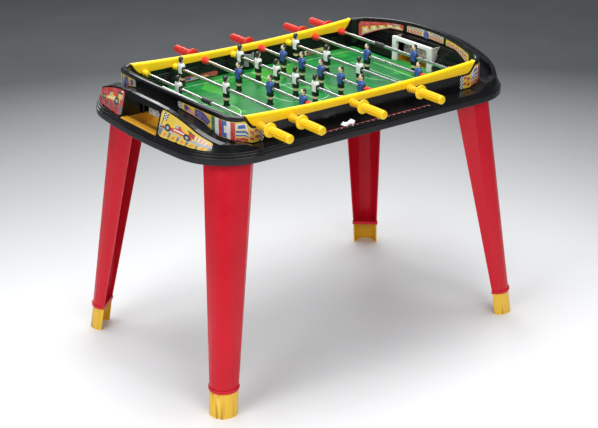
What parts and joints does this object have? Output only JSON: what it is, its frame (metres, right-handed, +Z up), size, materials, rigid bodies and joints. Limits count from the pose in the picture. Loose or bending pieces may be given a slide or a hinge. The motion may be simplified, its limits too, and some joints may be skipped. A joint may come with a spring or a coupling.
{
  "type": "foosball table",
  "caption": "Small football table with telescopic player rods, moulded playing box, end ball trays, sliding score pointers and channel legs.",
  "frame": {"origin": "centre of the footprint on the floor", "axes": "+X along the table's length, +Y across it to the far side, +Z up"},
  "size_m": [0.984, 0.754, 0.733],
  "materials": {
    "body_black": "gloss moulded",
    "pitch_green": "printed sheet",
    "rail_yellow": "gloss moulded",
    "amber": "gloss moulded",
    "white": "gloss moulded",
    "grey": "satin moulded",
    "leg_red": "gloss moulded",
    "foot_yellow": "gloss moulded",
    "grip_red": "gloss moulded",
    "player_white": "painted moulded",
    "player_blue": "painted moulded",
    "chrome": "polished",
    "collar_black": "satin"
  },
  "bodies": {
    "table": {"lower_tray": "body_black", "pod_left": "body_black", "pod_right": "body_black", "side_panel_near": "body_black", "side_panel_far": "body_black", "end_wall_left": "body_black", "end_wall_right": "body_black", "pitch": "pitch_green", "rail_near": "rail_yellow", "rail_far": "rail_yellow", "ball_tray_left": "amber", "ball_tray_right": "amber", "goal_frames": "white", "goal_nets": "white", "serve_cup": "grey", "leg_near_left": "leg_red", "leg_near_right": "leg_red", "leg_far_left": "leg_red", "leg_far_right": "leg_red", "feet_near": "foot_yellow", "feet_far": "foot_yellow", "score_strips": "body_black", "bushes_yellow": "rail_yellow", "bushes_red": "grip_red"},
    "bar_1": {"bar_1": "chrome"},
    "rod_1": {"tube_1": "chrome", "team_1": "player_white", "handle_1": "rail_yellow", "collar_1": "collar_black"},
    "bar_2": {"bar_2": "chrome"},
    "rod_2": {"tube_2": "chrome", "team_2": "player_white", "handle_2": "rail_yellow"},
    "bar_3": {"bar_3": "chrome"},
    "rod_3": {"tube_3": "chrome", "team_3": "player_blue", "handle_3": "grip_red"},
    "bar_4": {"bar_4": "chrome"},
    "rod_4": {"tube_4": "chrome", "team_4": "player_white", "handle_4": "rail_yellow"},
    "bar_5": {"bar_5": "chrome"},
    "rod_5": {"tube_5": "chrome", "team_5": "player_blue", "handle_5": "grip_red"},
    "bar_6": {"bar_6": "chrome"},
    "rod_6": {"tube_6": "chrome", "team_6": "player_white", "handle_6": "rail_yellow"},
    "bar_7": {"bar_7": "chrome"},
    "rod_7": {"tube_7": "chrome", "team_7": "player_blue", "handle_7": "grip_red"},
    "bar_8": {"bar_8": "chrome"},
    "rod_8": {"tube_8": "chrome", "team_8": "player_blue", "handle_8": "grip_red", "collar_8": "collar_black"},
    "score_car_near": {"score_car_near": "white"},
    "score_car_far": {"score_car_far": "white"}
  },
  "joints": [
    {"name": "rod_1_spin", "type": "hinge", "parent": "table", "child": "bar_1", "pos_m": [-0.315, 0, 0.688], "axis": [0, 1, 0], "continuous": true},
    {"name": "rod_1_slide", "type": "slide", "parent": "bar_1", "child": "rod_1", "axis": [0, -1, 0], "range_m": [-0.0045, 0.1565]},
    {"name": "rod_2_spin", "type": "hinge", "parent": "table", "child": "bar_2", "pos_m": [-0.225, 0, 0.688], "axis": [0, 1, 0], "continuous": true},
    {"name": "rod_2_slide", "type": "slide", "parent": "bar_2", "child": "rod_2", "axis": [0, -1, 0], "range_m": [-0.003, 0.214]},
    {"name": "rod_3_spin", "type": "hinge", "parent": "table", "child": "bar_3", "pos_m": [-0.135, 0, 0.688], "axis": [0, 1, 0], "continuous": true},
    {"name": "rod_3_slide", "type": "slide", "parent": "bar_3", "child": "rod_3", "axis": [0, 1, 0], "range_m": [-0.004, 0.126]},
    {"name": "rod_4_spin", "type": "hinge", "parent": "table", "child": "bar_4", "pos_m": [-0.045, 0, 0.688], "axis": [0, 1, 0], "continuous": true},
    {"name": "rod_4_slide", "type": "slide", "parent": "bar_4", "child": "rod_4", "axis": [0, -1, 0], "range_m": [-0.0045, 0.091]},
    {"name": "rod_5_spin", "type": "hinge", "parent": "table", "child": "bar_5", "pos_m": [0.045, 0, 0.688], "axis": [0, 1, 0], "continuous": true},
    {"name": "rod_5_slide", "type": "slide", "parent": "bar_5", "child": "rod_5", "axis": [0, 1, 0], "range_m": [-0.0045, 0.071]},
    {"name": "rod_6_spin", "type": "hinge", "parent": "table", "child": "bar_6", "pos_m": [0.135, 0, 0.688], "axis": [0, 1, 0], "continuous": true},
    {"name": "rod_6_slide", "type": "slide", "parent": "bar_6", "child": "rod_6", "axis": [0, -1, 0], "range_m": [-0.0045, 0.141]},
    {"name": "rod_7_spin", "type": "hinge", "parent": "table", "child": "bar_7", "pos_m": [0.225, 0, 0.688], "axis": [0, 1, 0], "continuous": true},
    {"name": "rod_7_slide", "type": "slide", "parent": "bar_7", "child": "rod_7", "axis": [0, 1, 0], "range_m": [-0.001, 0.196]},
    {"name": "rod_8_spin", "type": "hinge", "parent": "table", "child": "bar_8", "pos_m": [0.315, 0, 0.688], "axis": [0, 1, 0], "continuous": true},
    {"name": "rod_8_slide", "type": "slide", "parent": "bar_8", "child": "rod_8", "axis": [0, 1, 0], "range_m": [-0.0045, 0.1355]},
    {"name": "score_near_slide", "type": "slide", "parent": "table", "child": "score_car_near", "axis": [1, 0, 0], "range_m": [-0.066, 0.234]},
    {"name": "score_far_slide", "type": "slide", "parent": "table", "child": "score_car_far", "axis": [-1, 0, 0], "range_m": [-0.066, 0.234]}
  ]
}
